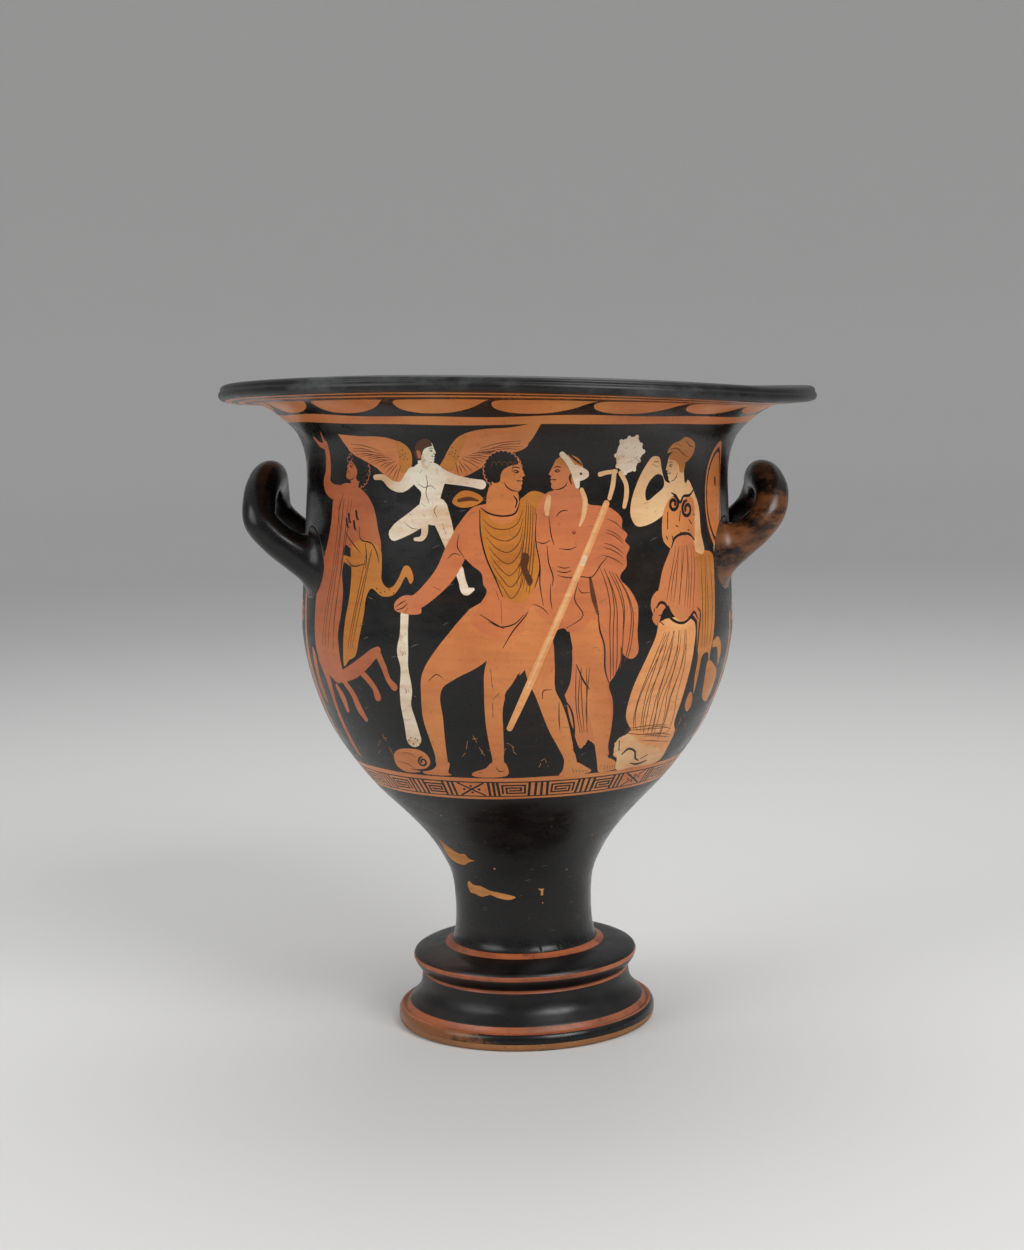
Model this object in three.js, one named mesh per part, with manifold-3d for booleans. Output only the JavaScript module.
// A pottery bell krater, fired as one body: foot, stem, bowl with a flaring lip, and two upturned loop
// handles. Millimetres, +Z up, front towards -Y, handles on the X axis.
import * as THREE from "three";
import { mergeVertices } from "three/addons/utils/BufferGeometryUtils.js";
import Module from "manifold-3d";

const wasm = await Module();
wasm.setup();

const turnSteps = 52; // facets round the vessel
const lean = 0.0306; // slope of the bowl's axis, which sags towards +X on its stem
const leanStart = 150; // height where the axis starts to bend
const leanEnd = 260; // height where it is straight again
const rimRaise = 4.7; // how far the front of the lip was pulled up in the firing
const rightSpread = 43; // half the distance between the arms of each handle
const leftSpread = 47;
const handleRadius = 10.1;
const rootRadius = 14; // the arms thicken where they join the wall

// Every station below is [radius, height].
const footUnderside = [
  [0, 88],
  [20, 84],
  [29, 68],
  [38, 45],
  [52, 22],
  [59, 6],
  [61, 0],
];
const footOutside = [
  [78.5, 0],
  [81.2, 2.6],
  [81.5, 6.2],
  [80.2, 9.6],
  [76.2, 11],
  [74.6, 12.6],
  [72.6, 15],
  [68, 20],
  [65.8, 25.5],
  [65.6, 31.4],
  [65.2, 33],
  [67, 34.8],
  [69.4, 38.2],
  [70.8, 41.2],
  [70.2, 43.8],
  [66, 46.4],
  [58, 48.2],
  [50.4, 48.9],
  [47.8, 50.4],
];
const bowlOutside = [
  [45.4, 51.6],
  [43.4, 62],
  [43.1, 77],
  [44.8, 93.5],
  [50.8, 107.5],
  [60, 121.8],
  [73, 136.5],
  [92, 156],
  [107, 175.3],
  [118.6, 194],
  [128.4, 219],
  [133.6, 243],
  [134.2, 264],
  [131.6, 317],
  [130.7, 350],
  [134.6, 367.5],
  [142.8, 377.6],
  [157, 387.6],
];
const lip = [
  [172, 390],
  [180.4, 390.9],
  [183.5, 392.6],
  [184, 395],
  [182.8, 396.6],
  [182.9, 398.2],
  [181, 399.8],
  [176, 400.2],
];
const bowlInside = [
  [169, 398.8],
  [157, 395],
  [143, 387.6],
  [132, 377.5],
  [125.6, 365],
  [123.3, 350],
  [124.2, 317],
  [126.8, 264],
  [126, 243],
  [120.6, 220],
  [110.8, 197],
  [98, 176.6],
  [82, 156.5],
  [62, 136],
  [40, 117],
  [20, 109],
  [0, 107],
];
// Each handle's centre line as [outwards, along the wall as a share of the spread, height]. The left one
// was set a little lower and bellies out more.
const rightArm = [
  [121, 0.98, 296.5],
  [133, 1, 305],
  [143, 1.03, 313.5],
  [151.5, 0.98, 323.5],
  [154.6, 0.78, 334.5],
  [153.6, 0.42, 342],
  [152.6, 0, 344],
];
const leftArm = [
  [121, 0.98, 291],
  [133, 1, 299],
  [145.3, 1.03, 308],
  [154.8, 1, 318.5],
  [156.2, 0.8, 331.5],
  [155, 0.42, 340.8],
  [154, 0, 343.4],
];

const stations = (list) => list.map(([radius, height]) => new THREE.Vector2(radius, height));
const smooth = (list, steps) => new THREE.SplineCurve(stations(list)).getPoints(steps);

function lathe(profile) {
  return new THREE.LatheGeometry(profile, turnSteps).rotateX(Math.PI / 2);
}

// Rings of vertices along a curve, with the radius given at each share of its length, capped at both ends.
function taperedTube(curve, radiusAt, steps, sides) {
  const frames = curve.computeFrenetFrames(steps, false);
  const positions = [];
  const index = [];
  for (let i = 0; i <= steps; i++) {
    const centre = curve.getPointAt(i / steps);
    for (let j = 0; j < sides; j++) {
      const turn = (j / sides) * 2 * Math.PI;
      const out = frames.normals[i]
        .clone()
        .multiplyScalar(Math.cos(turn))
        .addScaledVector(frames.binormals[i], Math.sin(turn));
      positions.push(...centre.clone().addScaledVector(out, radiusAt(i / steps)).toArray());
    }
  }
  const first = positions.length / 3;
  positions.push(...curve.getPointAt(0).toArray(), ...curve.getPointAt(1).toArray());
  for (let j = 0; j < sides; j++) {
    const next = (j + 1) % sides;
    for (let i = 0; i < steps; i++) {
      const [a, b] = [i * sides + j, i * sides + next];
      index.push(a, b, a + sides, b, b + sides, a + sides);
    }
    index.push(first, next, j, first + 1, steps * sides + j, steps * sides + next);
  }
  const tube = new THREE.BufferGeometry();
  tube.setAttribute("position", new THREE.Float32BufferAttribute(positions, 3));
  tube.setIndex(index);
  return tube;
}

function handle(arm, spread, side) {
  const near = arm.map(([out, along, height]) => [side * out, -along * spread, height]);
  const far = near.slice(0, -1).reverse().map(([x, y, z]) => [x, -y, z]);
  const points = [...near, ...far].map((point) => new THREE.Vector3(...point));
  const radiusAt = (share) => {
    const root = Math.max(0, 1 - Math.min(share, 1 - share) / 0.2);
    return handleRadius + (rootRadius - handleRadius) * root ** 1.4;
  };
  return taperedTube(new THREE.CatmullRomCurve3(points, false, "centripetal"), radiusAt, 24, 12);
}

function solid(geometry) {
  const bare = geometry.clone();
  bare.deleteAttribute("normal");
  bare.deleteAttribute("uv");
  const merged = mergeVertices(bare, 1e-4);
  return new wasm.Manifold(
    new wasm.Mesh({
      numProp: 3,
      vertProperties: new Float32Array(merged.getAttribute("position").array),
      triVerts: new Uint32Array(merged.index.array),
    }),
  );
}

function geometryOf(manifold) {
  const made = manifold.getMesh();
  const geometry = new THREE.BufferGeometry();
  geometry.setAttribute("position", new THREE.BufferAttribute(made.vertProperties, 3));
  geometry.setIndex(new THREE.BufferAttribute(made.triVerts, 1));
  return geometry;
}

const bump = (angle, centre, width) => Math.exp(-(((angle - centre) / width) ** 2));

// The lip warps: pulled up over the front left, sunk at the far left and over the front right.
function warpLip(point) {
  const radius = Math.hypot(point.x, point.y);
  const share = THREE.MathUtils.smoothstep(radius, 140, 184);
  if (point.z < 360 || share === 0) return;
  const angle = THREE.MathUtils.radToDeg(Math.atan2(point.x, -point.y));
  const raise = rimRaise * bump(angle, -17, 46);
  const sink = 1.9 * bump(angle, 55, 22) + 3.6 * bump(angle, -108, 26);
  point.z += share * (raise - sink);
}

// The axis bends between leanStart and leanEnd, and everything above is turned with it.
function sag(point) {
  const bent = THREE.MathUtils.clamp(point.z, leanStart, leanEnd) - leanStart;
  const slope = (lean * bent) / (leanEnd - leanStart);
  const shift = (slope * bent) / 2 + lean * Math.max(0, point.z - leanEnd);
  point.z -= point.x * slope;
  point.x += shift;
}

const outer = [...stations(footOutside), ...smooth(bowlOutside, 26), ...stations(lip)];
const inner = smooth(bowlInside, 18);
const cavity = [new THREE.Vector2(0, 420), new THREE.Vector2(178, 420), ...stations(lip).slice(-1), ...inner];
const vessel = solid(lathe([...stations(footUnderside), ...outer, ...inner]));
const loops = solid(handle(rightArm, rightSpread, 1)).add(solid(handle(leftArm, leftSpread, -1)));
const handles = loops.subtract(solid(lathe(cavity.reverse())));
const krater = geometryOf(vessel.add(handles));

const positions = krater.getAttribute("position");
for (let i = 0; i < positions.count; i++) {
  const point = new THREE.Vector3().fromBufferAttribute(positions, i);
  warpLip(point);
  sag(point);
  positions.setXYZ(i, point.x, point.y, point.z);
}
krater.computeBoundingBox();
const centre = krater.boundingBox.getCenter(new THREE.Vector3());
krater.translate(-centre.x, -centre.y, -krater.boundingBox.min.z);
krater.computeVertexNormals();

const glaze = new THREE.MeshStandardMaterial({ color: 0x2a211b, roughness: 0.35 });
const mesh = new THREE.Mesh(krater, glaze);
mesh.name = "krater";
const group = new THREE.Group();
group.add(mesh);

export default group;
